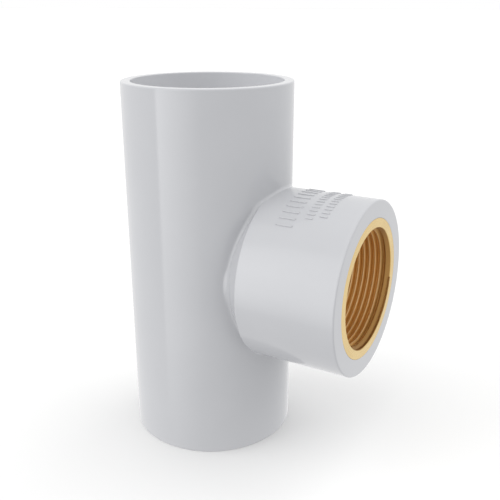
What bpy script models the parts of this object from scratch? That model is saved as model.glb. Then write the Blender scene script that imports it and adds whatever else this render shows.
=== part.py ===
"""PVC tee for irrigation pipe: a 2 in solvent-weld run with a 1 1/2 in threaded brass branch.

The run stands along +Z and the branch points along +X. Everything is in metres.
The origin is on the floor plane, under the middle of the bounding box.
"""

import math

import bmesh
import bpy
from mathutils import Matrix

MM = 0.001

# Run: a straight tube with a tapered socket at each end and a stop shoulder behind each socket.
RUN_R = 34.2 * MM
RUN_LENGTH = 148.9 * MM
SOCKET_MOUTH_R = 30.3 * MM
SOCKET_ROOT_R = 30.1 * MM
SOCKET_DEPTH = 38.1 * MM
RUN_BORE_R = 27.5 * MM
RIM_ROUND = 0.6 * MM

# Branch: a neck, a short cone and a boss, measured along +X from the run's axis.
BRANCH_HEIGHT = RUN_LENGTH / 2
BRANCH_REACH = 71.8 * MM
BOSS_R = 34.4 * MM
BOSS_START = 32.3 * MM
NECK_R = 26.0 * MM
NECK_END = 24.6 * MM
NECK_START = 13.0 * MM
WATERWAY_R = 20.5 * MM

# Insert: depths are measured from the branch's face, inwards.
COLLAR_R = 27.4 * MM
KEY_GROOVE_R = 25.8 * MM
SEAL_GROOVE_R = 25.4 * MM
INSERT_BANDS = [  # outer radius and length of each band, and the seal in it, from the face inwards
    (COLLAR_R, 3.3 * MM, None),
    (SEAL_GROOVE_R, 3.0 * MM, "outer_seal_ring"),
    (COLLAR_R, 1.7 * MM, None),
    (KEY_GROOVE_R, 3.0 * MM, None),
    (COLLAR_R, 6.0 * MM, None),
    (KEY_GROOVE_R, 3.0 * MM, None),
    (COLLAR_R, 4.1 * MM, None),
    (SEAL_GROOVE_R, 3.0 * MM, "inner_seal_ring"),
    (COLLAR_R, 1.9 * MM, None),
]
INSERT_LENGTH = sum(length for _, length, _ in INSERT_BANDS)
FLANGE_SIDES = 8
FLANGE_CORNER_R = 30.6 * MM
FLANGE_DEPTH = 14.0 * MM
FLANGE_THICKNESS = 5.0 * MM

# Seals: one round-section ring near each end of the insert, each in a groove of its own.
SEAL_SECTION_R = 1.2 * MM

# Thread: parallel pipe thread, 11 turns to the inch, 55 degree form, right-handed.
THREAD_PITCH = 25.4 * MM / 11
THREAD_MAJOR_R = 24.0 * MM
THREAD_MINOR_R = 22.7 * MM
THREAD_FLANK = math.radians(27.5)
THREAD_FLAT = 0.24 * THREAD_PITCH
THREAD_TURNS = 9
THREAD_INSET = 0.2 * MM  # how far inside the bore the groove's section starts
THREAD_START_DEPTH = 0.7 * MM
THREAD_START_ANGLE = math.radians(-7.5)  # about +X, from +Y towards +Z
MOUTH_R = 23.9 * MM
MOUTH_DEPTH = 3.0 * MM
RELIEF_R = 24.3 * MM
RELIEF_START = 20.0 * MM
RELIEF_END = 23.5 * MM

# Marks: rows of plain raised blocks on top of the boss, at angles up from its -Y side.
MARK_RAISED = 0.5 * MM
MARK_ROOT = 1.0 * MM
MARK_ROWS = [  # reach of the row's middle, length along X, width, first angle, step and count
    (45.0 * MM, 8.0 * MM, 2.4 * MM, 53, 9, 6),
    (53.0 * MM, 3.0 * MM, 1.6 * MM, 62, 6, 7),
    (58.0 * MM, 3.0 * MM, 1.6 * MM, 65, 6, 7),
]

GAP = 0.3 * MM  # between touching pieces
PAST = 2.0 * MM  # how far a cutter runs past the face it opens
WELD = 0.02 * MM
SEGMENTS = 48
SEAL_SEGMENTS = 36
SEAL_SECTION_SIDES = 8
ARC_STEPS = 2

SEAL_CENTRE_R = SEAL_GROOVE_R + GAP + SEAL_SECTION_R
RUN_X = (RUN_R - BRANCH_REACH) / 2
FACE_X = RUN_X + BRANCH_REACH
RIGHT_ANGLE = math.radians(90)
ALONG_X = (0, RIGHT_ANGLE, 0)


def arc(radius, height, size, start, end, steps=ARC_STEPS):
    """Points on an arc in the (radius, height) plane, from one angle in degrees to another."""
    angles = [math.radians(start + (end - start) * i / steps) for i in range(steps + 1)]
    return [(radius + size * math.cos(a), height + size * math.sin(a)) for a in angles]


def clear_scene():
    for old in list(bpy.data.objects):
        bpy.data.objects.remove(old, do_unlink=True)


def make_collection(name):
    made = bpy.data.collections.new(name)
    bpy.context.scene.collection.children.link(made)
    return made


def make_material(name, colour, roughness, metallic=0.0):
    made = bpy.data.materials.new(name)
    made.use_nodes = True
    made.diffuse_color = (*colour, 1)
    shader = made.node_tree.nodes["Principled BSDF"]
    shader.inputs["Base Color"].default_value = (*colour, 1)
    shader.inputs["Roughness"].default_value = roughness
    shader.inputs["Metallic"].default_value = metallic
    return made


def make_object(name, mesh, group, location, rotation=(0, 0, 0)):
    made = bpy.data.objects.new(name, mesh)
    made.location = location
    made.rotation_euler = rotation
    group.objects.link(made)
    return made


def turned(name, outline, group, location, rotation=(0, 0, 0), closed=False, segments=SEGMENTS):
    """A solid turned about its own Z from (radius, height) points, its outer side top to bottom."""
    mesh = bpy.data.meshes.new(name)
    edges = [(i, i + 1) for i in range(len(outline) - 1)]
    if closed:
        edges.append((len(outline) - 1, 0))
    mesh.from_pydata([(r, 0, z) for r, z in outline], edges, [])
    made = make_object(name, mesh, group, location, rotation)
    screw = made.modifiers.new("turn", "SCREW")
    screw.steps = screw.render_steps = segments
    screw.use_merge_vertices = True
    screw.merge_threshold = WELD
    return made


def built(name, fill, group, location, rotation=(0, 0, 0)):
    """An object whose mesh is filled in by bmesh operators."""
    mesh = bpy.data.meshes.new(name)
    work = bmesh.new()
    fill(work)
    work.to_mesh(mesh)
    work.free()
    return make_object(name, mesh, group, location, rotation)


def boolean(target, other, operation):
    """Cuts or joins with an object that stays in the file as a wire guide."""
    other.hide_render = True
    other.display_type = "WIRE"
    step = target.modifiers.new(other.name, "BOOLEAN")
    step.operation = operation
    step.solver = "EXACT"
    step.object = other


def weld(target):
    """Merges the slivers that a chain of Booleans leaves."""
    step = target.modifiers.new("weld", "WELD")
    step.merge_threshold = WELD


def at_depth(depth):
    """The point on the branch's axis that lies this far in from its face."""
    return (FACE_X - depth, 0, BRANCH_HEIGHT)


def insert_outline():
    """The insert's stepped outside, downwards from the branch's face at height 0."""
    points = []
    top = 0
    for radius, length, _ in INSERT_BANDS:
        points += [(radius, top), (radius, top - length)]
        top -= length
    return points


def pocket_outline():
    """The plastic round the insert: it fills the key grooves and bulges round the seals."""
    wall = COLLAR_R + GAP
    room = SEAL_SECTION_R + GAP
    bulge = math.degrees(math.acos((wall - SEAL_CENTRE_R) / room))
    points = [(wall, PAST)]
    top = 0
    for radius, length, seal in INSERT_BANDS:
        if seal:
            points += arc(SEAL_CENTRE_R, top - length / 2, room, bulge, -bulge, 2 * ARC_STEPS)
        elif radius < COLLAR_R:
            key = radius + GAP
            points += [(wall, top - GAP), (key, top - GAP)]
            points += [(key, top - length + GAP), (wall, top - length + GAP)]
        top -= length
    return [*points, (wall, top - GAP)]


def insert_flange(name, grow, group):
    """The eight-sided flange that stops the insert turning in the plastic."""

    def fill(work):
        radius = FLANGE_CORNER_R + grow / math.cos(math.pi / FLANGE_SIDES)
        bmesh.ops.create_cone(
            work,
            cap_ends=True,
            segments=FLANGE_SIDES,
            radius1=radius,
            radius2=radius,
            depth=FLANGE_THICKNESS + 2 * grow,
        )

    return built(name, fill, group, at_depth(FLANGE_DEPTH), ALONG_X)


def run_blank(group):
    outline = [(0, RUN_LENGTH)]
    outline += arc(RUN_R - RIM_ROUND, RUN_LENGTH - RIM_ROUND, RIM_ROUND, 90, 0)
    outline += arc(RUN_R - RIM_ROUND, RIM_ROUND, RIM_ROUND, 0, -90)
    outline += [(0, 0)]
    return turned("tee_body", outline, group, (RUN_X, 0, 0))


def run_bore(group):
    """Both sockets, with rounded mouths, and the narrower bore between their stop shoulders."""
    shoulder = RUN_LENGTH - SOCKET_DEPTH
    top = [(SOCKET_MOUTH_R + RIM_ROUND, RUN_LENGTH + PAST)]
    top += arc(SOCKET_MOUTH_R + RIM_ROUND, RUN_LENGTH - RIM_ROUND, RIM_ROUND, 90, 180)
    top += [(SOCKET_ROOT_R, shoulder), (RUN_BORE_R, shoulder)]
    bottom = [(r, RUN_LENGTH - z) for r, z in reversed(top)]
    outline = [(0, RUN_LENGTH + PAST), *top, *bottom, (0, -PAST)]
    return turned("run_bore", outline, group, (RUN_X, 0, 0))


def branch_blank(group):
    """Neck, cone and boss, from inside the run out to the face."""
    outline = [(0, BRANCH_REACH)]
    outline += arc(BOSS_R - RIM_ROUND, BRANCH_REACH - RIM_ROUND, RIM_ROUND, 90, 0)
    outline += [(BOSS_R, BOSS_START), (NECK_R, NECK_END), (NECK_R, NECK_START), (0, NECK_START)]
    return turned("branch_blank", outline, group, (RUN_X, 0, BRANCH_HEIGHT), ALONG_X)


def branch_bore(group):
    """The pocket that the insert is moulded into, and the waterway from it to the run."""
    pocket = pocket_outline()
    bottom = pocket[-1][1]
    waterway = [(WATERWAY_R, bottom), (WATERWAY_R, -BRANCH_REACH), (0, -BRANCH_REACH)]
    bore = turned("branch_bore", [(0, PAST), *pocket, *waterway], group, at_depth(0), ALONG_X)
    boolean(bore, insert_flange("flange_pocket", GAP, group), "UNION")
    return bore


def mark_blocks(group):
    """All the raised marks, as separate blocks rooted in the boss."""

    def fill(work):
        for reach, length, width, first, step, count in MARK_ROWS:
            for i in range(count):
                lean = Matrix.Rotation(math.radians(90 - first - i * step), 4, "X")
                lift = Matrix.Translation((reach, 0, BOSS_R + (MARK_RAISED - MARK_ROOT) / 2))
                size = Matrix.Diagonal((length, width, MARK_RAISED + MARK_ROOT, 1))
                bmesh.ops.create_cube(work, size=1, matrix=lean @ lift @ size)

    return built("mark_blocks", fill, group, (RUN_X, 0, BRANCH_HEIGHT))


def make_tee_body(group, cutters):
    body = run_blank(group)
    boolean(body, branch_blank(cutters), "UNION")
    boolean(body, mark_blocks(cutters), "UNION")
    boolean(body, run_bore(cutters), "DIFFERENCE")
    boolean(body, branch_bore(cutters), "DIFFERENCE")
    weld(body)
    body.data.materials.append(make_material("pvc", (0.66, 0.67, 0.70), 0.35))


def insert_bore(group):
    """Tapered mouth, thread core, relief behind the thread and the narrower waterway."""
    flare = (MOUTH_R - THREAD_MINOR_R) / MOUTH_DEPTH
    outline = [
        (0, PAST),
        (MOUTH_R + flare * PAST, PAST),
        (THREAD_MINOR_R, -MOUTH_DEPTH),
        (THREAD_MINOR_R, -RELIEF_START),
        (RELIEF_R, -RELIEF_START),
        (RELIEF_R, -RELIEF_END),
        (WATERWAY_R, -RELIEF_END),
        (WATERWAY_R, -INSERT_LENGTH - PAST),
        (0, -INSERT_LENGTH - PAST),
    ]
    return turned("insert_bore", outline, group, at_depth(0), ALONG_X)


def thread_groove(group):
    """The thread's groove as a solid: its section swept down a helix and closed at both ends."""
    core = THREAD_MINOR_R - THREAD_INSET
    half_root = THREAD_FLAT / 2
    half_core = half_root + (THREAD_MAJOR_R - core) * math.tan(THREAD_FLANK)
    section = [
        (THREAD_MAJOR_R, half_root),
        (THREAD_MAJOR_R, -half_root),
        (core, -half_core),
        (core, half_core),
    ]
    sweep = turned("thread_sweep", section, group, (0, 0, 0), closed=True)
    screw = sweep.modifiers["turn"]
    screw.iterations = THREAD_TURNS
    screw.screw_offset = THREAD_PITCH
    depsgraph = bpy.context.evaluated_depsgraph_get()
    mesh = bpy.data.meshes.new_from_object(sweep.evaluated_get(depsgraph))
    bpy.data.objects.remove(sweep, do_unlink=True)

    work = bmesh.new()
    work.from_mesh(mesh)
    bmesh.ops.holes_fill(work, edges=[edge for edge in work.edges if edge.is_boundary])
    deepest = THREAD_START_DEPTH + THREAD_TURNS * THREAD_PITCH
    start = Matrix.Rotation(RIGHT_ANGLE + THREAD_START_ANGLE, 4, "Z")
    bmesh.ops.transform(work, matrix=Matrix.Translation((0, 0, -deepest)) @ start, verts=work.verts)
    bmesh.ops.recalc_face_normals(work, faces=work.faces)
    work.to_mesh(mesh)
    work.free()
    return make_object("thread_groove", mesh, group, at_depth(0), ALONG_X)


def make_brass_insert(group, cutters):
    outline = [(0, 0), *insert_outline(), (0, -INSERT_LENGTH)]
    insert = turned("brass_insert", outline, group, at_depth(0), ALONG_X)
    boolean(insert, insert_flange("insert_flange", 0, cutters), "UNION")
    boolean(insert, insert_bore(cutters), "DIFFERENCE")
    boolean(insert, thread_groove(cutters), "DIFFERENCE")
    weld(insert)
    insert.data.materials.append(make_material("brass", (0.78, 0.58, 0.25), 0.25, 1.0))


def make_seal_rings(group):
    rubber = make_material("rubber", (0.02, 0.02, 0.02), 0.6)
    section = arc(SEAL_CENTRE_R, 0, SEAL_SECTION_R, 90, -270, SEAL_SECTION_SIDES)[:-1]
    depth = 0
    for _, length, seal in INSERT_BANDS:
        if seal:
            place = at_depth(depth + length / 2)
            ring = turned(seal, section, group, place, ALONG_X, True, SEAL_SEGMENTS)
            ring.data.materials.append(rubber)
        depth += length


def main():
    clear_scene()
    group = make_collection("pvc_tee_fitting")
    cutters = make_collection("cutters")
    make_tee_body(group, cutters)
    make_brass_insert(group, cutters)
    make_seal_rings(group)


main()
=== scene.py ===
"""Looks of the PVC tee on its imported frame: fine surfaces with procedural materials.

Distances are in metres. Round the branch, angle 0 is the +Y side and a quarter turn is the top.
"""

import cmath
import math

import bmesh
import bpy
import numpy as np
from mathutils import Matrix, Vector


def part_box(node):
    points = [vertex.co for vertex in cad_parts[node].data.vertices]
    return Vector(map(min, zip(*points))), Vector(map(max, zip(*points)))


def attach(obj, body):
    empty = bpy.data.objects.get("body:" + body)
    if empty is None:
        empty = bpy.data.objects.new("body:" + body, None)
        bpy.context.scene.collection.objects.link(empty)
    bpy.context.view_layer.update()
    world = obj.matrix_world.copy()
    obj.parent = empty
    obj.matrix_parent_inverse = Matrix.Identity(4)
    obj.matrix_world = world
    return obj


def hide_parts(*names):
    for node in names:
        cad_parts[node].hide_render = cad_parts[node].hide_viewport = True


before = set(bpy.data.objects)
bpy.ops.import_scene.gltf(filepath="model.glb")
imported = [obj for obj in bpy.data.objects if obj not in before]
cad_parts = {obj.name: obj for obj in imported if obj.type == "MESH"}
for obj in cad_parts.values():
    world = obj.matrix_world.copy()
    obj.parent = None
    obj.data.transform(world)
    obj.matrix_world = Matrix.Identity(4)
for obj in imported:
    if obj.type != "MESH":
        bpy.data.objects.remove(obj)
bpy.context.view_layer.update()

MM = 0.001
FULL_TURN = 2 * math.pi

# Run, as the frame has it: its axis is at RUN_X and the branch's axis is at half its length.
body_low, body_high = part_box("tee_body")
RUN_R = 34.2 * MM
RUN_X = body_low.x + RUN_R
RUN_BORE_R = 27.5 * MM
MIDDLE = (body_low.z + body_high.z) / 2
SOCKET_MOUTH_R = 30.3 * MM
SOCKET_ROOT_R = 30.1 * MM
SOCKET_DEPTH = 38.1 * MM
RIM_ROUND = 0.6 * MM
MOUTH_ROUND = 0.35 * MM
SHOULDER_ROUND = 0.5 * MM

# Branch: distances along it are from the run's axis.
FACE_X = body_high.x
REACH = FACE_X - RUN_X
BOSS_R = -body_low.y
BOSS_START = 32.3 * MM
BOSS_END = REACH - 2 * RIM_ROUND  # where its side hands over to its face
NECK_R = 26.0 * MM
NECK_END = 24.6 * MM
NECK_START = 13.0 * MM
WATERWAY_R = 20.5 * MM
NECK_ROUND = 2.0 * MM
CONE_ROUND = 0.6 * MM
JUNCTION_ROUND = 1.2 * MM
PORT_ROUND = 0.6 * MM
SEAT_LIP = 1 * MM  # how far the face's outline turns in beside the insert

# Insert: depths are from the branch's face, inwards.
insert_low, insert_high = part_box("brass_insert")
INSERT_LENGTH = insert_high.x - insert_low.x
COLLAR_R = 27.4 * MM
KEY_GROOVE_R = 25.8 * MM
SEAL_GROOVE_R = 25.4 * MM
BANDS = [  # outer radius and length of each band, from the face inwards
    (COLLAR_R, 3.3 * MM),
    (SEAL_GROOVE_R, 3.0 * MM),
    (COLLAR_R, 1.7 * MM),
    (KEY_GROOVE_R, 3.0 * MM),
    (COLLAR_R, 0.5 * MM),
    (None, 5.0 * MM),  # the eight-sided flange
    (COLLAR_R, 0.5 * MM),
    (KEY_GROOVE_R, 3.0 * MM),
    (COLLAR_R, 4.1 * MM),
    (SEAL_GROOVE_R, 3.0 * MM),
    (COLLAR_R, 1.9 * MM),
]
FLANGE_CORNER_R = 30.6 * MM
FLANGE_SIDES = 8
SEAM = 0.05 * MM
SEAM_ROUND = 0.12 * MM
EDGE_ROUND = 0.1 * MM
END_ROUND = 0.3 * MM

# Thread: parallel pipe thread, right-handed; its groove starts abruptly, near the face.
THREAD_PITCH = 25.4 * MM / 11
THREAD_MAJOR_R = 24.0 * MM
THREAD_MINOR_R = 22.7 * MM
THREAD_FLANK = math.radians(27.5)
THREAD_FLAT = 0.24 * THREAD_PITCH
THREAD_START_DEPTH = 0.7 * MM
THREAD_START_ANGLE = math.radians(-7.5)
CREST_ROUND = 0.12 * MM
ROOT_ROUND = 0.16 * MM
MOUTH_R = 23.9 * MM
MOUTH_DEPTH = 3.0 * MM
RELIEF_R = 24.3 * MM
RELIEF_START = 20.0 * MM
RELIEF_END = 23.5 * MM
RELIEF_ROUND = 0.4 * MM

# Seal rings.
SEAL_SECTION_R = 1.2 * MM
SEAL_COLUMNS = 144
SEAL_SECTION_POINTS = 24

# Marks: rows of plain raised bars on top of the boss, at angles up from its -Y side.
MARK_RAISED = 0.32 * MM
MARK_ROOT = 0.4 * MM
MARK_ROUND = 0.12 * MM
MARK_DRAFT = 0.08 * MM
MARK_SQUARENESS = 7
MARK_POINTS = 48
MARK_ARC = [math.radians(90 * k / 4) for k in range(5)]
MARK_BASE_SHARES = (0, 0.5, 1)  # sizes of the rings across its base, and of those across its top
MARK_TOP_SHARES = (0.85, 0.6, 0.3, 0)
# Each row: reach, first angle, step and count, then its bars' length along the branch and width.
MARK_ROWS = [
    (45.5, 52, 5.5, 10, 6.6, 0.8),
    (53.5, 60, 3.6, 13, 3.0, 0.6),
    (58.5, 63, 3.6, 12, 3.0, 0.6),
]

# How finely the surfaces are divided.
COLUMNS = 180
WINDOW_HALF = 35
WINDOW_ROWS = 76
WINDOW_HEIGHT = 45.0 * MM
PORT_WINDOW_HEIGHT = 30.0 * MM
PATCH_RINGS = 12
WATERWAY_RINGS = 5
INSERT_COLUMNS = 240
ARC_STEPS = 6
THREAD_ARC_STEPS = 3
SPARE_TURNS = 1.5  # of thread drawn beyond its length, so that its last rows all end at the relief
SOCKET_STEP = 8 * MM
SIDE_STEP = 2.5 * MM
FACE_STEP = 2 * MM
INSERT_FACE_STEP = 0.6 * MM
ROLL_STEPS = 6000
MERGE = 0.002 * MM
SHARP_ANGLE = math.radians(40)

# Looks: noise spreads a surface between the two colours or the two roughnesses of a pair. A noise
# is given as its scale, per metre, and its detail.
NOISE_LOW, NOISE_HIGH = 0.3, 0.7  # nearly all of a noise's values are between these
PVC_IOR = 1.53
PVC_COLOURS = (0.420, 0.425, 0.444), (0.433, 0.438, 0.457)
PVC_CLOUDS = 38, 4
PVC_ROUGHNESS = 0.12, 0.15
PVC_GLOSS_CLOUDS = 120, 5
PVC_PEEL = 700, 2
PVC_PEEL_DEPTH = 0.006 * MM
BRASS_BRIGHT = (0.74, 0.545, 0.225), (0.70, 0.50, 0.195)
# Painted shade: a darker brown that stands in for the shade inside the bore.
BRASS_BORE_SHADE = (0.67, 0.39, 0.13), (0.64, 0.365, 0.115)
BRASS_BORE_SHADE_DEPTHS = 0.15 * MM, 0.35 * MM  # where the painted bore shade starts and where it is full
# Painted highlight: lighter brass along the thread's crests.
BRASS_CREST_HIGHLIGHT = (0.79, 0.57, 0.30)
BRASS_CREST_HIGHLIGHT_HEIGHTS = 0.13 * MM, 0.04 * MM  # the same, outwards from the thread's minor radius
# Painted shade: the darkest brown, in the first turns next to the face.
BRASS_MOUTH_SHADE = (0.37, 0.205, 0.068)
BRASS_MOUTH_SHADE_DEPTHS = 4.5 * MM, 2.0 * MM
BRASS_TARNISH = 90, 4
BRASS_ROUGHNESS = 0.22, 0.30
BRASS_DULL_ROUGHNESS = 0.22  # as much more in the bore
BRASS_LATHE = 5200, 2
BRASS_LATHE_DEPTH = 0.0012 * MM
RUBBER_COLOURS = (0.018, 0.018, 0.019), (0.035, 0.034, 0.033)
RUBBER_ROUGHNESS = 0.5, 0.7
RUBBER_BLOOM = 300, 5
RUBBER_GRAIN = 2500, 3
RUBBER_GRAIN_DEPTH = 0.01 * MM
FLOOR_COLOURS = (0.725, 0.725, 0.725), (0.735, 0.735, 0.735)
FLOOR_ROUGHNESS = 0.6
FLOOR_GRAIN = 8, 3

# Camera: where it is, in metres, and which way it looks; lens and sensor are in millimetres.
CAMERA_PLACE = (RUN_X + 0.1539, -0.2346, 0.1768)
CAMERA_WAY = (-0.4694, 0.8176, -0.3340)
CAMERA_LENS = 50
CAMERA_SENSOR = 36

# Light: azimuths are round the object from +X, and elevations are above its middle, in degrees.
# The white world and the suns light the surfaces evenly, and the weak sun below lights the branch's
# underside. The suns and the floor aren't mirrored: the glossy plastic mirrors the white world and
# the strip, which is the tall highlight on the run. The bore lamps light the inner walls of the
# upper socket and the branch, which the suns hardly reach.
WORLD_GLOW = 1.0
LAMP_COLOUR = (1, 0.998, 0.985)
SUNS = [  # name, azimuth, elevation, angle across and strength
    ("key", -141, 25, 50, 1.10),
    ("upper_left", -110, 62, 50, 0.50),
    ("behind", 46, 50, 64, 1.04),
    ("below", -75, -35, 80, 0.12),
]
RUN_LAMP_DEPTH = 23 * MM
BRANCH_LAMP_DEPTH = 27 * MM
BORE_LAMPS = [  # place, way it shines, radius and glow
    ((RUN_X, 0, body_high.z - RUN_LAMP_DEPTH), (0, 0, 1), 28 * MM, 1.15),
    ((FACE_X - BRANCH_LAMP_DEPTH, 0, MIDDLE), (1, 0, 0), 19 * MM, 0.85),
]
STRIP_AZIMUTHS = (-127, -70)
STRIP_ELEVATIONS = (-34, 50)
STRIP_DISTANCE = 1.5
STRIP_GLOW = (3.4, 1.0)  # at its first side and at its last
STRIP_END_GLOW = 1.0
STRIP_FADES = [(0, 0.36), (1.05, 0.55)]  # each end's fade, between these shares of its height
FLOOR_HALF = 20
FLOOR_GAP = 0.1 * MM


def add_object(name, data):
    made = bpy.data.objects.new(name, data)
    bpy.context.scene.collection.objects.link(made)
    return made


class Skin:
    """Gathers rows of points, and the faces between them, for one mesh."""

    def __init__(self):
        self.points = []
        self.faces = []
        self.count = 0

    def row(self, points):
        numbers = np.arange(self.count, self.count + len(points))
        self.points.append(points)
        self.count += len(points)
        return numbers

    def strip(self, one, other, closed=True):
        if closed:
            one, other = np.append(one, one[0]), np.append(other, other[0])
        self.faces.append(np.stack([one[:-1], one[1:], other[1:], other[:-1]], axis=1))

    def grow(self, last, points, closed=True):
        """A new row, joined to the last one if there is one."""
        row = self.row(points)
        if last is not None:
            self.strip(last, row, closed)
        return row

    def made(self, name, material):
        mesh = bpy.data.meshes.new(name)
        points, faces = np.concatenate(self.points), np.concatenate(self.faces)
        mesh.from_pydata(points.tolist(), [], faces.tolist())
        work = bmesh.new()
        work.from_mesh(mesh)
        bmesh.ops.remove_doubles(work, verts=work.verts, dist=MERGE)
        bmesh.ops.recalc_face_normals(work, faces=work.faces)
        work.to_mesh(mesh)
        work.free()
        mesh.shade_smooth()
        mesh.set_sharp_from_angle(angle=SHARP_ANGLE)
        mesh.materials.append(material)
        return add_object(name, mesh)


def rounded(corners, steps=ARC_STEPS, hold=True):
    """Points, as complex numbers, on an outline of (along, out, rounding) corners.

    With hold, each arc has one more point close by on each side, so that the flat stretches beside
    it stay flat in the shading.
    """
    plain = [complex(along, out) for along, out, _ in corners]
    points = [plain[0]]
    for i in range(1, len(plain) - 1):
        size = corners[i][2]
        if not size:
            points.append(plain[i])
            continue
        into = (plain[i] - plain[i - 1]) / abs(plain[i] - plain[i - 1])
        away = (plain[i + 1] - plain[i]) / abs(plain[i + 1] - plain[i])
        turn = cmath.phase(away / into)
        start = plain[i] - into * size * math.tan(abs(turn) / 2)
        centre = start + into * 1j * math.copysign(size, turn)
        swept = [
            centre + (start - centre) * cmath.exp(1j * turn * k / steps) for k in range(steps + 1)
        ]
        if hold:
            swept = [swept[0] - into * size / steps, *swept, swept[-1] + away * size / steps]
        points += swept
    return np.array([*points, plain[-1]])


def divided(outline, longest):
    """The outline with its long stretches cut into shorter ones."""
    points = [outline[0]]
    for before, after in zip(outline, outline[1:]):
        pieces = max(1, math.ceil(abs(after - before) / longest))
        points += [before + (after - before) * k / pieces for k in range(1, pieces + 1)]
    return np.array(points)


def distances(outline):
    """How far along the outline each of its points is."""
    return np.append(0, np.cumsum(abs(np.diff(outline))))


def round_branch(reach, radius, angles):
    """Points round the branch's axis; reach and radius are numbers or one value for each angle."""
    reach = np.broadcast_to(reach, angles.shape)
    return np.stack(
        [RUN_X + reach, radius * np.cos(angles), MIDDLE + radius * np.sin(angles)], axis=1
    )


def on_run(radius, across, height):
    """Points on the run at distances round it from the +X side and above its middle."""
    turned = across / radius
    height = np.broadcast_to(height, turned.shape)
    return np.stack(
        [RUN_X + radius * np.cos(turned), radius * np.sin(turned), MIDDLE + height], axis=1
    )


def rolled(run_radius, outline, ball, angles):
    """A ball rolled round the corner between run and branch, at each angle round the branch.

    Gives how far along the outline the ball touches the branch, where it touches the run, and the
    arcs between the two contacts, from the run to the branch.
    """
    along = distances(outline)
    fine = np.linspace(0, along[-1], ROLL_STEPS)
    side = np.interp(fine, along, outline)
    out = 1j * np.gradient(side)
    out /= abs(out)
    centres = side + ball * out
    from_run = centres.real**2 + np.outer(np.cos(angles) ** 2, centres.imag**2)
    gaps = from_run - (run_radius + ball) ** 2
    touch = np.array([np.interp(0, gap, fine) for gap in gaps])
    centre = np.interp(touch, fine, centres)
    middle = round_branch(centre.real, centre.imag, angles)
    branch_touch = np.interp(touch, fine, side)
    end = round_branch(branch_touch.real, branch_touch.imag, angles)
    start = middle.copy()
    share = run_radius / (run_radius + ball)
    start[:, 0] = RUN_X + (middle[:, 0] - RUN_X) * share
    start[:, 1] *= share
    one, other = (start - middle) / ball, (end - middle) / ball
    between = np.arccos(np.sum(one * other, axis=1))[:, None]
    arcs = []
    for t in np.linspace(0, 1, ARC_STEPS + 1):
        way = (np.sin((1 - t) * between) * one + np.sin(t * between) * other) / np.sin(between)
        arcs.append(middle + ball * way)
    across = run_radius * np.arctan2(start[:, 1], start[:, 0] - RUN_X)
    return touch, across, start[:, 2] - MIDDLE, arcs


def window(bottom, top):
    """Row and column numbers round the window that the run leaves for the branch."""
    step = 1 if top > bottom else -1
    rows = np.arange(bottom, top, step)
    columns = np.arange(-WINDOW_HALF, WINDOW_HALF)
    right, left = np.full(len(rows), WINDOW_HALF), np.full(len(rows), -WINDOW_HALF)
    ring_rows = [np.full(len(columns), bottom), rows, np.full(len(columns), top), rows[::-1] + step]
    return np.concatenate(ring_rows), np.concatenate([columns, right, -columns, left])


def eight_sided(radius, angles):
    """The radius at each angle of an eight-sided outline with corners at this radius."""
    side = FULL_TURN / FLANGE_SIDES
    return radius * math.cos(side / 2) / np.cos(angles % side - side / 2)


def band_rings(angles, grow):
    """Depth and radius of each ring down the insert's stepped outside.

    With grow, the rings are those of the plastic round it, which stand off from it by that much.
    """
    depth = 0
    rings = []
    for radius, length in BANDS:
        if radius is None:
            radii = eight_sided(FLANGE_CORNER_R, angles)
        else:
            radii = np.full(len(angles), radius)
        inner = grow if radius is None or radius == COLLAR_R else -grow
        top, bottom = depth - inner, depth + length + inner
        rings += [(max(top, 0), radii + grow), (bottom, radii + grow)]
        depth += length
    return rings


def run_rows():
    """The run's closed section as (out, up) points, and the row where its inner window starts."""
    half = MIDDLE - body_low.z
    shoulder = half - SOCKET_DEPTH
    lower = rounded(
        [
            (RUN_R, -WINDOW_HEIGHT, 0),
            (RUN_R, -half, RIM_ROUND),
            (SOCKET_MOUTH_R, -half, MOUTH_ROUND),
            (SOCKET_ROOT_R, -shoulder, SHOULDER_ROUND),
            (RUN_BORE_R, -shoulder, SHOULDER_ROUND),
            (RUN_BORE_R, -PORT_WINDOW_HEIGHT, 0),
        ]
    )
    lower = divided(lower, SOCKET_STEP)
    outer = RUN_R + 1j * np.linspace(WINDOW_HEIGHT, -WINDOW_HEIGHT, WINDOW_ROWS + 1)
    inner = RUN_BORE_R + 1j * np.linspace(-PORT_WINDOW_HEIGHT, PORT_WINDOW_HEIGHT, WINDOW_ROWS + 1)
    upper = np.conj(lower[::-1])
    return np.concatenate([outer, lower[1:-1], inner, upper[1:-1]]), WINDOW_ROWS + len(lower) - 1


def make_run(skin):
    """The run's skin, with a window for the branch in its outside and in its bore.

    Gives the numbers of the points round each window, and where these points are on the run.
    """
    section, inner_start = run_rows()
    turns = np.arange(COLUMNS) * FULL_TURN / COLUMNS
    grid = np.stack([skin.row(on_run(p.real, p.real * turns, p.imag)) for p in section])
    below = np.roll(grid, -1, axis=0)
    quads = np.stack([grid, np.roll(grid, -1, axis=1), np.roll(below, -1, axis=1), below], axis=2)
    kept = np.ones(grid.shape, bool)
    open_columns = np.arange(-WINDOW_HALF, WINDOW_HALF)
    for start in (0, inner_start):
        kept[start : start + WINDOW_ROWS, open_columns] = False
    skin.faces.append(quads[kept])
    windows = []
    for bottom, top in ((WINDOW_ROWS, 0), (inner_start, inner_start + WINDOW_ROWS)):
        rows, columns = window(bottom, top)
        across = section[rows].real * columns * FULL_TURN / COLUMNS
        windows.append((grid[rows, columns], across, section[rows].imag))
    return windows


def patch(run_radius, window_across, window_height, across, height):
    """Rings on the run from the window in to where the branch's rounded corner starts."""
    rings = []
    for k in range(1, PATCH_RINGS):
        share = k / PATCH_RINGS
        ring_across = (1 - share) * window_across + share * across
        ring_height = (1 - share) * window_height + share * height
        rings.append(on_run(run_radius, ring_across, ring_height))
    return rings


def squared(wave):
    """A sine or cosine with steeper slopes, so that the two of them go round a squared oval."""
    return np.sign(wave) * abs(wave) ** (2 / MARK_SQUARENESS)


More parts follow.
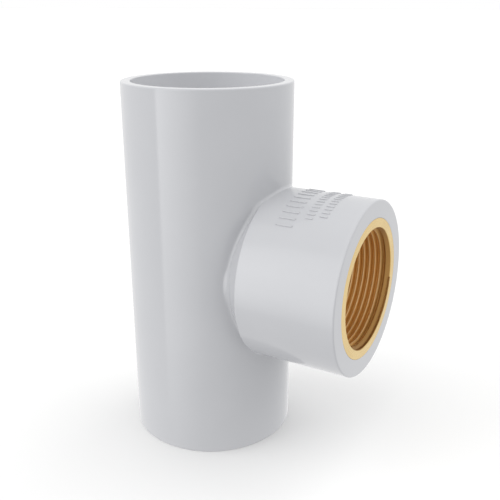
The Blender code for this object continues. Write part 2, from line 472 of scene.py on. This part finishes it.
def add_mark(skin, reach, angle, length, width):
    """One raised bar with drafted sides and rounded edges, rooted in the boss as a closed shell."""
    turns = np.linspace(0, FULL_TURN, MARK_POINTS, endpoint=False)
    along, across = squared(np.cos(turns)), squared(np.sin(turns))
    levels = [(share, -MARK_DRAFT, -MARK_ROOT) for share in MARK_BASE_SHARES]
    for turn in MARK_ARC:
        inset = MARK_ROUND * (1 - math.cos(turn))
        levels.append((1, inset, MARK_RAISED + MARK_ROUND * (math.sin(turn) - 1)))
    levels += [(share, MARK_ROUND, MARK_RAISED) for share in MARK_TOP_SHARES]
    last = None
    for share, inset, height in levels:
        far = reach + share * (length / 2 - inset) * along
        around = angle + share * (width / 2 - inset) * across / BOSS_R
        last = skin.grow(last, round_branch(far, BOSS_R + height, around))


def add_marks(skin):
    """The rows of marks, given in millimetres and degrees."""
    for reach, first, step, count, length, width in MARK_ROWS:
        for i in range(count):
            angle = math.radians(180 - first - i * step)
            add_mark(skin, reach * MM, angle, length * MM, width * MM)


def make_body(material):
    """The moulding: the run, the branch's outside and face, the insert's seat and the waterway."""
    skin = Skin()
    outside, inside = make_run(skin)
    numbers, across, height = outside
    angles = np.arctan2(height, across)

    outline = rounded(
        [
            (NECK_START, NECK_R, 0),
            (NECK_END, NECK_R, NECK_ROUND),
            (BOSS_START, BOSS_R, CONE_ROUND),
            (BOSS_END, BOSS_R, 0),
        ]
    )
    outline = divided(outline, SIDE_STEP)
    touch, start_across, start_height, arcs = rolled(RUN_R, outline, JUNCTION_ROUND, angles)
    rings = patch(RUN_R, across, height, start_across, start_height) + arcs
    along = distances(outline)
    for far in along[1:]:
        side = np.interp(np.maximum(far, touch), along, outline)
        rings.append(round_branch(side.real, side.imag, angles))

    face = rounded(
        [
            (BOSS_END, BOSS_R, 0),
            (REACH, BOSS_R, RIM_ROUND),
            (REACH, COLLAR_R + SEAM, SEAM_ROUND),
            (REACH - SEAT_LIP, COLLAR_R + SEAM, 0),
        ]
    )
    rings += [round_branch(point.real, point.imag, angles) for point in divided(face, FACE_STEP)]
    bands = band_rings(angles, SEAM)
    rings += [round_branch(REACH - depth, radii, angles) for depth, radii in bands[1:]]

    port = np.array([complex(0, WATERWAY_R), complex(REACH, WATERWAY_R)])
    touch, end_across, end_height, port_arcs = rolled(RUN_BORE_R, port, PORT_ROUND, angles)
    waterway_start = REACH - INSERT_LENGTH - SEAM
    for share in np.linspace(0, 1, WATERWAY_RINGS, endpoint=False):
        far = waterway_start + share * (touch - waterway_start)
        rings.append(round_branch(far, WATERWAY_R, angles))
    rings += port_arcs[::-1]
    inner_numbers, inner_across, inner_height = inside
    rings += patch(RUN_BORE_R, inner_across, inner_height, end_across, end_height)[::-1]

    last = numbers
    for ring in rings:
        last = skin.grow(last, ring)
    skin.strip(last, inner_numbers)
    add_marks(skin)
    body = skin.made("tee_body_moulding", material)
    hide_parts("tee_body")
    return body


def thread_section():
    """One pitch of the thread as (offset from the groove's middle, cut) points."""
    deep = THREAD_MAJOR_R - THREAD_MINOR_R
    half_root = THREAD_FLAT / 2
    half_mouth = half_root + deep * math.tan(THREAD_FLANK)
    return rounded(
        [
            (-THREAD_PITCH / 2, 0, 0),
            (-half_mouth, 0, CREST_ROUND),
            (-half_root, deep, ROOT_ROUND),
            (half_root, deep, ROOT_ROUND),
            (half_mouth, 0, CREST_ROUND),
            (THREAD_PITCH / 2, 0, 0),
        ],
        steps=THREAD_ARC_STEPS,
        hold=False,
    )


def add_thread(skin, shares, angles):
    """The threaded wall, whose rows go round with the groove; gives its first row and its last."""
    flare = (MOUTH_R - THREAD_MINOR_R) / MOUTH_DEPTH
    section = thread_section()[:-1]
    length = RELIEF_START - THREAD_START_DEPTH
    rows = []
    for turn in np.arange(-1, math.ceil(length / THREAD_PITCH + SPARE_TURNS)):
        for point in section:
            depth = THREAD_START_DEPTH + THREAD_PITCH * (turn + shares) + point.real
            depth = np.clip(depth, 0, RELIEF_START)
            phase = (depth - THREAD_START_DEPTH) / THREAD_PITCH - shares
            nearest = np.round(phase)
            cut = np.interp((phase - nearest) * THREAD_PITCH, section.real, section.imag)
            radius = THREAD_MINOR_R + np.where(nearest >= 0, cut, 0)
            radius = np.maximum(radius, MOUTH_R - flare * depth)
            rows.append(skin.row(round_branch(REACH - depth, radius, angles)))
    for one, other in zip(rows, rows[1:]):
        skin.strip(one, other, closed=False)
    pitch_rows = len(section)
    ends = np.array([row[-1] for row in rows[:-pitch_rows]])
    starts = np.array([row[0] for row in rows[pitch_rows:]])
    skin.strip(ends, starts, closed=False)
    return rows[0], rows[-1]


def make_insert(material):
    """The machined bush. Its columns start where the thread's groove does."""
    skin = Skin()
    shares = np.linspace(0, 1, INSERT_COLUMNS + 1)
    angles = THREAD_START_ANGLE - FULL_TURN * shares
    first, last = add_thread(skin, shares, angles)

    inside = rounded(
        [
            (RELIEF_START, THREAD_MINOR_R, 0),
            (RELIEF_START, RELIEF_R, 0),
            (RELIEF_END, RELIEF_R, RELIEF_ROUND),
            (RELIEF_END, WATERWAY_R, END_ROUND),
            (INSERT_LENGTH, WATERWAY_R, END_ROUND),
            (INSERT_LENGTH, COLLAR_R - EDGE_ROUND, 0),
        ]
    )
    rim = rounded(
        [
            (SEAT_LIP, COLLAR_R, 0),
            (0, COLLAR_R, EDGE_ROUND),
            (0, MOUTH_R, 0),
        ]
    )
    rings = [(point.real, point.imag) for point in inside[1:]]
    rings += band_rings(angles, 0)[::-1][:-1]
    rings += [(point.real, point.imag) for point in divided(rim[1:-1], INSERT_FACE_STEP)]
    for depth, radius in rings:
        last = skin.grow(last, round_branch(REACH - depth, radius, angles), closed=False)
    skin.strip(last, first, closed=False)
    insert = skin.made("threaded_brass_bush", material)
    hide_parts("brass_insert")
    return insert


def make_seal(node, material):
    """A plain rubber ring in its groove."""
    skin = Skin()
    low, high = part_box(node)
    centre_r = high.y - SEAL_SECTION_R
    angles = np.linspace(0, FULL_TURN, SEAL_COLUMNS, endpoint=False)
    rings = []
    for turn in np.linspace(0, FULL_TURN, SEAL_SECTION_POINTS, endpoint=False):
        along = (low.x + high.x) / 2 - RUN_X + SEAL_SECTION_R * math.sin(turn)
        radius = centre_r + SEAL_SECTION_R * math.cos(turn)
        rings.append(skin.row(round_branch(along, radius, angles)))
    for one, other in zip(rings, rings[1:] + rings[:1]):
        skin.strip(one, other)
    ring = skin.made(node + "_rubber", material)
    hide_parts(node)
    return ring


class Look:
    """A Principled material and short ways to build the nodes that feed it."""

    def __init__(self, name, **values):
        self.material = bpy.data.materials.new(name)
        self.material.use_nodes = True
        self.nodes = self.material.node_tree.nodes
        self.links = self.material.node_tree.links
        self.shader = self.nodes["Principled BSDF"]
        for socket, value in values.items():
            self.shader.inputs[socket].default_value = value

    def add(self, kind, inputs=(), **settings):
        node = self.nodes.new("ShaderNode" + kind)
        for name, value in settings.items():
            setattr(node, name, value)
        for socket, value in dict(inputs).items():
            if isinstance(value, bpy.types.NodeSocket):
                self.links.new(value, node.inputs[socket])
            else:
                node.inputs[socket].default_value = value
        return node

    def feed(self, socket, output):
        self.links.new(output, self.shader.inputs[socket])

    def place(self):
        return self.add("TexCoord").outputs["Object"]

    def noise(self, vector, scale, detail):
        node = self.add("TexNoise", {"Vector": vector, "Scale": scale, "Detail": detail})
        return node.outputs["Fac"]

    def spread(self, noise, low, high):
        """The noise's values spread from low to high."""
        limits = {"From Min": NOISE_LOW, "From Max": NOISE_HIGH, "To Min": low, "To Max": high}
        return self.add("MapRange", {"Value": noise, **limits}).outputs["Result"]

    def ramp(self, value, none, full):
        """0 to 1 as the value goes from one limit to the other."""
        node = self.add("MapRange", {"Value": value, "From Min": none, "From Max": full})
        return node.outputs["Result"]

    def blend(self, share, one, other):
        """A colour between two, each a plain colour or an output."""
        node = self.add("Mix", data_type="RGBA")
        self.links.new(share, node.inputs["Factor"])
        for socket, colour in (("A", one), ("B", other)):
            end = next(i for i in node.inputs if i.name == socket and i.type == "RGBA")
            if isinstance(colour, bpy.types.NodeSocket):
                self.links.new(colour, end)
            else:
                end.default_value = (*colour, 1)
        return next(o for o in node.outputs if o.type == "RGBA")

    def bump(self, height, depth):
        inputs = {"Height": height, "Distance": depth, "Strength": 1.0}
        return self.add("Bump", inputs).outputs["Normal"]


def pvc_look():
    """Moulded PVC: an almost even, glossy cool grey with faint flow clouds and fine orange peel."""
    look = Look("moulded_pvc", IOR=PVC_IOR)
    place = look.place()
    clouds = look.noise(place, *PVC_CLOUDS)
    look.feed("Base Color", look.blend(look.spread(clouds, 0, 1), *PVC_COLOURS))
    gloss = look.noise(place, *PVC_GLOSS_CLOUDS)
    look.feed("Roughness", look.spread(gloss, *PVC_ROUGHNESS))
    look.feed("Normal", look.bump(look.noise(place, *PVC_PEEL), PVC_PEEL_DEPTH))
    return look.material


def brass_look():
    """Machined brass with fine turning marks round the branch's axis.

    It is bright on the face. In the bore, painted shade makes it a darker brown, darkest in the
    first turns next to the face; a painted highlight makes it lighter along the thread's crests.
    """
    look = Look("machined_brass", Metallic=1.0)
    place = look.place()
    flattened = {"Vector": place, "Location": (0, 0, -MIDDLE), "Scale": (0, 1, 1)}
    from_axis = look.add("Mapping", flattened).outputs["Vector"]
    radius = look.add("VectorMath", {0: from_axis}, operation="LENGTH").outputs["Value"]
    along = look.add("SeparateXYZ", {"Vector": place}).outputs["X"]
    step = look.add("Math", {0: radius, 1: along}, operation="ADD").outputs["Value"]
    scale, detail = BRASS_LATHE
    turned = {"W": step, "Scale": scale, "Detail": detail}
    lathe = look.add("TexNoise", turned, noise_dimensions="1D").outputs["Fac"]
    tarnish = look.spread(look.noise(place, *BRASS_TARNISH), 0, 1)
    # Where the bore's painted shade and its extra roughness begin.
    bore = look.ramp(along, *(FACE_X - depth for depth in BRASS_BORE_SHADE_DEPTHS))
    crest_highlight = look.ramp(radius, *(THREAD_MINOR_R + height for height in BRASS_CREST_HIGHLIGHT_HEIGHTS))
    bright = look.blend(tarnish, *BRASS_BRIGHT)
    # Painted shade: the bore's darker brown.
    bore_shade_and_highlight = look.blend(tarnish, *BRASS_BORE_SHADE)
    # Painted highlight along the thread's crests.
    bore_shade_and_highlight = look.blend(crest_highlight, bore_shade_and_highlight, BRASS_CREST_HIGHLIGHT)
    # Painted shade, darkest in the first turns next to the face.
    mouth_shade = look.ramp(along, *(FACE_X - depth for depth in BRASS_MOUTH_SHADE_DEPTHS))
    bore_shade_and_highlight = look.blend(mouth_shade, bore_shade_and_highlight, BRASS_MOUTH_SHADE)
    look.feed("Base Color", look.blend(bore, bright, bore_shade_and_highlight))
    fine = look.spread(lathe, *BRASS_ROUGHNESS)
    duller = {0: bore, 1: BRASS_DULL_ROUGHNESS, 2: fine}
    look.feed("Roughness", look.add("Math", duller, operation="MULTIPLY_ADD").outputs["Value"])
    look.feed("Normal", look.bump(lathe, BRASS_LATHE_DEPTH))
    return look.material


def rubber_look():
    """Black seal rubber, matte, with a faint bloom."""
    look = Look("seal_rubber")
    place = look.place()
    bloom = look.noise(place, *RUBBER_BLOOM)
    look.feed("Base Color", look.blend(look.spread(bloom, 0, 1), *RUBBER_COLOURS))
    look.feed("Roughness", look.spread(bloom, *RUBBER_ROUGHNESS))
    look.feed("Normal", look.bump(look.noise(place, *RUBBER_GRAIN), RUBBER_GRAIN_DEPTH))
    return look.material


def floor_look():
    look = Look("pale_floor", Roughness=FLOOR_ROUGHNESS)
    grain = look.noise(look.place(), *FLOOR_GRAIN)
    look.feed("Base Color", look.blend(grain, *FLOOR_COLOURS))
    return look.material


def strip_look():
    """Light that fades from the strip's first side to its last, and towards its two ends."""
    look = Look("strip_glow")
    look.nodes.remove(look.shader)
    where = look.add("TexCoord").outputs["Generated"]
    split = look.add("SeparateXYZ", {"Vector": where}).outputs
    first, last = STRIP_GLOW
    fade = look.add("MapRange", {"Value": split["X"], "To Min": first, "To Max": last})
    shares = [look.ramp(split["Z"], none, full) for none, full in STRIP_FADES]
    both = look.add("Math", dict(enumerate(shares)), operation="MULTIPLY").outputs["Value"]
    glows = {"Factor": both, "A": STRIP_END_GLOW, "B": fade.outputs["Result"]}
    glow = look.add("Emission", {"Strength": look.add("Mix", glows).outputs["Result"]})
    look.links.new(glow.outputs["Emission"], look.nodes["Material Output"].inputs["Surface"])
    look.material.cycles.emission_sampling = "NONE"
    return look.material


def facing(way):
    """The rotation that turns a camera or a lamp to face this way."""
    return Vector(way).to_track_quat("-Z", "Y").to_euler()


def make_camera():
    data = bpy.data.cameras.new("camera")
    data.lens = CAMERA_LENS
    data.sensor_width = CAMERA_SENSOR
    data.dof.use_dof = False
    made = add_object("camera", data)
    made.location = CAMERA_PLACE
    made.rotation_euler = facing(CAMERA_WAY)
    bpy.context.scene.camera = made


def direction(azimuth, elevation):
    """The way from the object to something this many degrees round it from +X and above it."""
    azimuth, elevation = math.radians(azimuth), math.radians(elevation)
    level = math.cos(elevation)
    return Vector((level * math.cos(azimuth), level * math.sin(azimuth), math.sin(elevation)))


def soft_sun(name, azimuth, elevation, across, strength):
    """A wide sun that glossy surfaces don't mirror, because the strip gives the only highlight."""
    data = bpy.data.lights.new(name, "SUN")
    data.energy = strength
    data.angle = math.radians(across)
    data.color = LAMP_COLOUR
    made = add_object(name, data)
    made.rotation_euler = facing(-direction(azimuth, elevation))
    made.visible_glossy = False


def bore_lamp(place, way, radius, glow):
    """A disc inside the part that shines out of one of its openings."""
    data = bpy.data.lights.new("bore_lamp", "AREA")
    data.shape = "DISK"
    data.size = 2 * radius
    data.energy = glow * (math.pi * radius) ** 2
    made = add_object("bore_lamp", data)
    made.location = place
    made.rotation_euler = facing(way)
    made.visible_camera = False


def add_panel(name, corners, material):
    mesh = bpy.data.meshes.new(name)
    mesh.from_pydata([tuple(corner) for corner in corners], [], [(0, 1, 2, 3)])
    mesh.materials.append(material)
    return add_object(name, mesh)


def make_strip_box():
    """A tall glowing panel that only the glossy surfaces see."""
    middle = Vector((0, 0, MIDDLE))
    low, high = STRIP_ELEVATIONS
    first, last = STRIP_AZIMUTHS
    ways = (first, low), (last, low), (last, high), (first, high)
    corners = [middle + STRIP_DISTANCE * direction(*way) for way in ways]
    made = add_panel("strip_box", corners, strip_look())
    made.visible_camera = made.visible_diffuse = made.visible_shadow = False


def make_floor():
    """The floor, which takes shadows but hides neither the world nor the strip from the object."""
    half = FLOOR_HALF
    corners = (-half, -half, 0), (half, -half, 0), (half, half, 0), (-half, half, 0)
    made = add_panel("floor", corners, floor_look())
    made.location.z = body_low.z - FLOOR_GAP
    made.visible_glossy = made.visible_diffuse = made.visible_shadow = False


def make_world():
    made = bpy.data.worlds.new("studio")
    bpy.context.scene.world = made
    made.use_nodes = True
    light = made.node_tree.nodes["Background"]
    light.inputs["Color"].default_value = (1, 1, 1, 1)
    light.inputs["Strength"].default_value = WORLD_GLOW
    bpy.context.scene.view_settings.view_transform = "Standard"


make_camera()
make_floor()
make_world()
for sun in SUNS:
    soft_sun(*sun)
make_strip_box()
for lamp in BORE_LAMPS:
    bore_lamp(*lamp)

rubber = rubber_look()
for piece, slot in (
    (make_body(pvc_look()), "pvc"),
    (make_insert(brass_look()), "brass"),
    (make_seal("outer_seal_ring", rubber), "rubber"),
    (make_seal("inner_seal_ring", rubber), "rubber"),
):
    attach(piece, "root")
